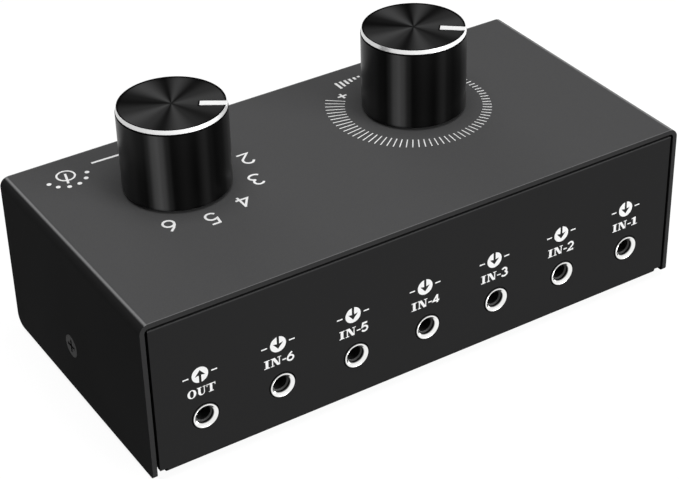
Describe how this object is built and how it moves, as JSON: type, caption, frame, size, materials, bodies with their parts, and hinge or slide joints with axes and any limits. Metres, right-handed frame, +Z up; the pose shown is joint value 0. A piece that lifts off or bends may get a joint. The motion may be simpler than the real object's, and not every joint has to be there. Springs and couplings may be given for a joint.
{
  "type": "speaker selector switch",
  "caption": "Low folded-steel box with a row of small plug jacks along one long side, and a rotary source selector and a volume knob on top.",
  "frame": {"origin": "on the desk, under the middle of the case", "axes": "+X along the row of jacks, from the output jack to the first input; -Y out of the jack panel, so the user sits at +Y; +Z up, along both knobs' axes"},
  "size_m": [0.141, 0.0691, 0.0626],
  "materials": {
    "case_black": "matt black powder coat",
    "screw_black": "blackened steel, satin",
    "rubber": "matt black rubber",
    "board": "green solder mask on glass-fibre laminate",
    "plated_steel": "zinc plated",
    "black_plastic": "moulded black plastic",
    "contact_metal": "tinned brass",
    "ribbon_grey": "grey insulation",
    "phenolic": "phenolic laminate",
    "jack_nickel": "polished nickel plating",
    "knob_aluminium": "black anodised, spun face and a bright cut bevel",
    "pointer_white": "white paint fill",
    "white_plastic": "moulded natural plastic"
  },
  "bodies": {
    "case": {"base_tray": "case_black", "board_screws": "plated_steel", "board_standoffs": "plated_steel", "control_board": "board", "cover_screws": "screw_black", "jack_barrel_in_1": "jack_nickel", "jack_barrel_in_2": "jack_nickel", "jack_barrel_in_3": "jack_nickel", "jack_barrel_in_4": "jack_nickel", "jack_barrel_in_5": "jack_nickel", "jack_barrel_in_6": "jack_nickel", "jack_barrel_out": "jack_nickel", "jack_contacts_in_1": "contact_metal", "jack_contacts_in_2": "contact_metal", "jack_contacts_in_3": "contact_metal", "jack_contacts_in_4": "contact_metal", "jack_contacts_in_5": "contact_metal", "jack_contacts_in_6": "contact_metal", "jack_contacts_out": "contact_metal", "jack_housing_in_1": "black_plastic", "jack_housing_in_2": "black_plastic", "jack_housing_in_3": "black_plastic", "jack_housing_in_4": "black_plastic", "jack_housing_in_5": "black_plastic", "jack_housing_in_6": "black_plastic", "jack_housing_out": "black_plastic", "main_board": "board", "ribbon_cable": "ribbon_grey", "ribbon_header": "black_plastic", "ribbon_pins": "contact_metal", "ribbon_socket": "black_plastic", "rubber_feet": "rubber", "selector_bushing": "plated_steel", "selector_housing": "black_plastic", "selector_lugs": "contact_metal", "selector_nut": "plated_steel", "selector_wafer": "phenolic", "selector_washer": "plated_steel", "top_cover": "case_black", "volume_bushing": "plated_steel", "volume_can": "plated_steel", "volume_nut": "plated_steel", "volume_terminals": "contact_metal", "volume_tracks": "phenolic", "volume_washer": "plated_steel"},
    "selector": {"selector_knob_shell": "knob_aluminium", "selector_knob_core": "black_plastic", "selector_knob_pointer": "pointer_white", "selector_shaft": "plated_steel", "selector_detent_carrier": "white_plastic", "selector_detent_springs": "plated_steel", "selector_detent_balls": "plated_steel", "selector_rotor": "white_plastic", "selector_wipers": "contact_metal"},
    "volume": {"volume_knob_shell": "knob_aluminium", "volume_knob_core": "black_plastic", "volume_knob_pointer": "pointer_white", "volume_shaft": "plated_steel", "volume_wiper_carriers": "white_plastic", "volume_wipers": "contact_metal"}
  },
  "joints": [
    {"name": "selector_turn", "type": "hinge", "parent": "case", "child": "selector", "pos_m": [-0.038, 0.0095, 0.0426], "axis": [0, 0, 1], "range_deg": [-90, 60]},
    {"name": "volume_turn", "type": "hinge", "parent": "case", "child": "volume", "pos_m": [0.026, 0.0095, 0.0426], "axis": [0, 0, 1], "range_deg": [-185, 85]}
  ]
}
